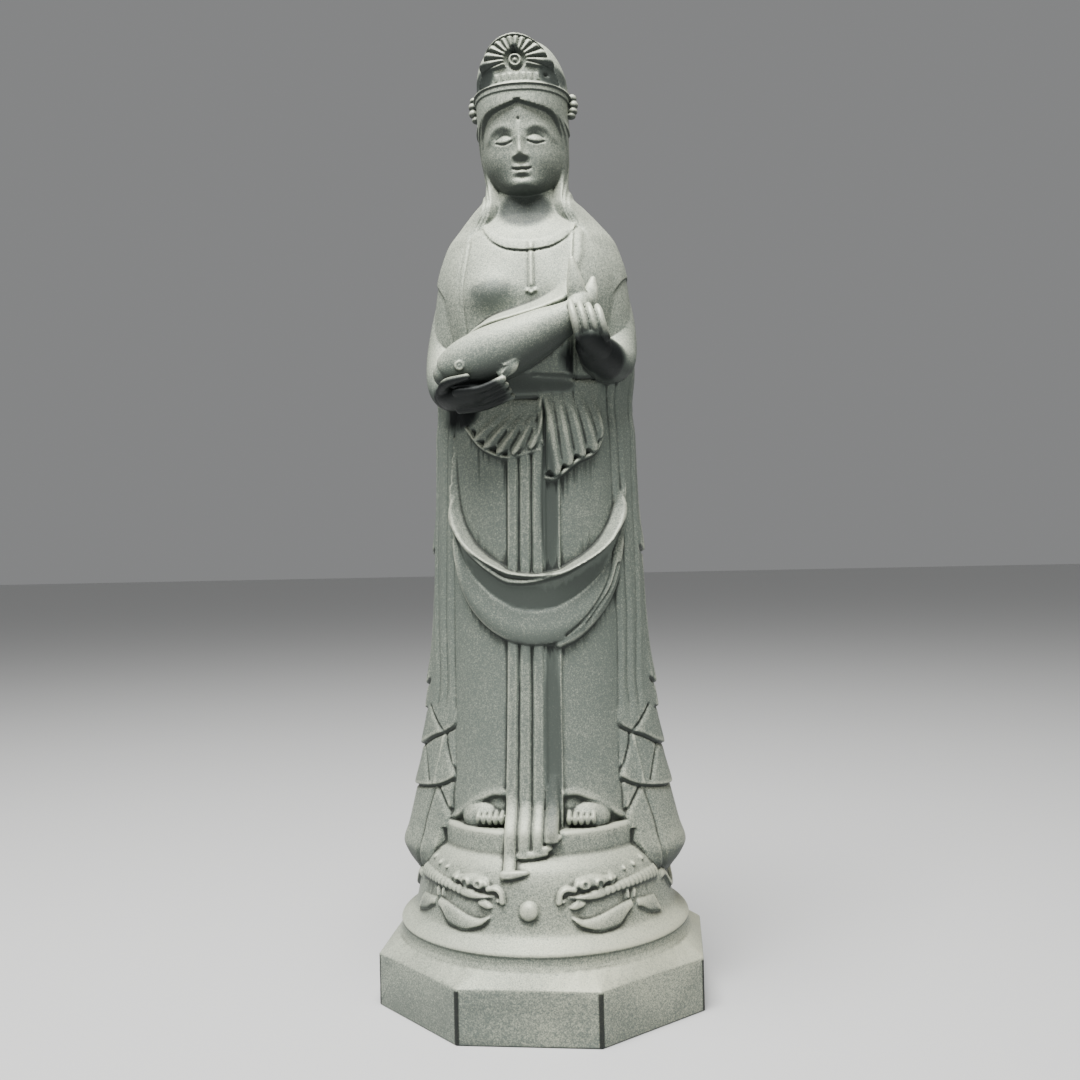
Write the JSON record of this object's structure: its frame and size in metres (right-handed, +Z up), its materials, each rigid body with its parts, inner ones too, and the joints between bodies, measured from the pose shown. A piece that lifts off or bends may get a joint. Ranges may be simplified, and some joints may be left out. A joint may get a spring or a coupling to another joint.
{
  "type": "guanyin statue",
  "caption": "Standing robed guanyin figure cradling a fish, cast in one piece with a domed dragon base on an octagonal plinth.",
  "frame": {"origin": "centre of the octagonal plinth's underside, on the surface that the statue stands on", "axes": "+Z up to the hood, -Y to the figure's front, +X to a viewer's right"},
  "size_m": [0.085, 0.085, 0.26],
  "materials": {
    "cast_metal": "matte grey-green patina on a fine sand-cast grain"
  },
  "bodies": {
    "root": {"guanyin_statue": "cast_metal"}
  },
  "joints": []
}
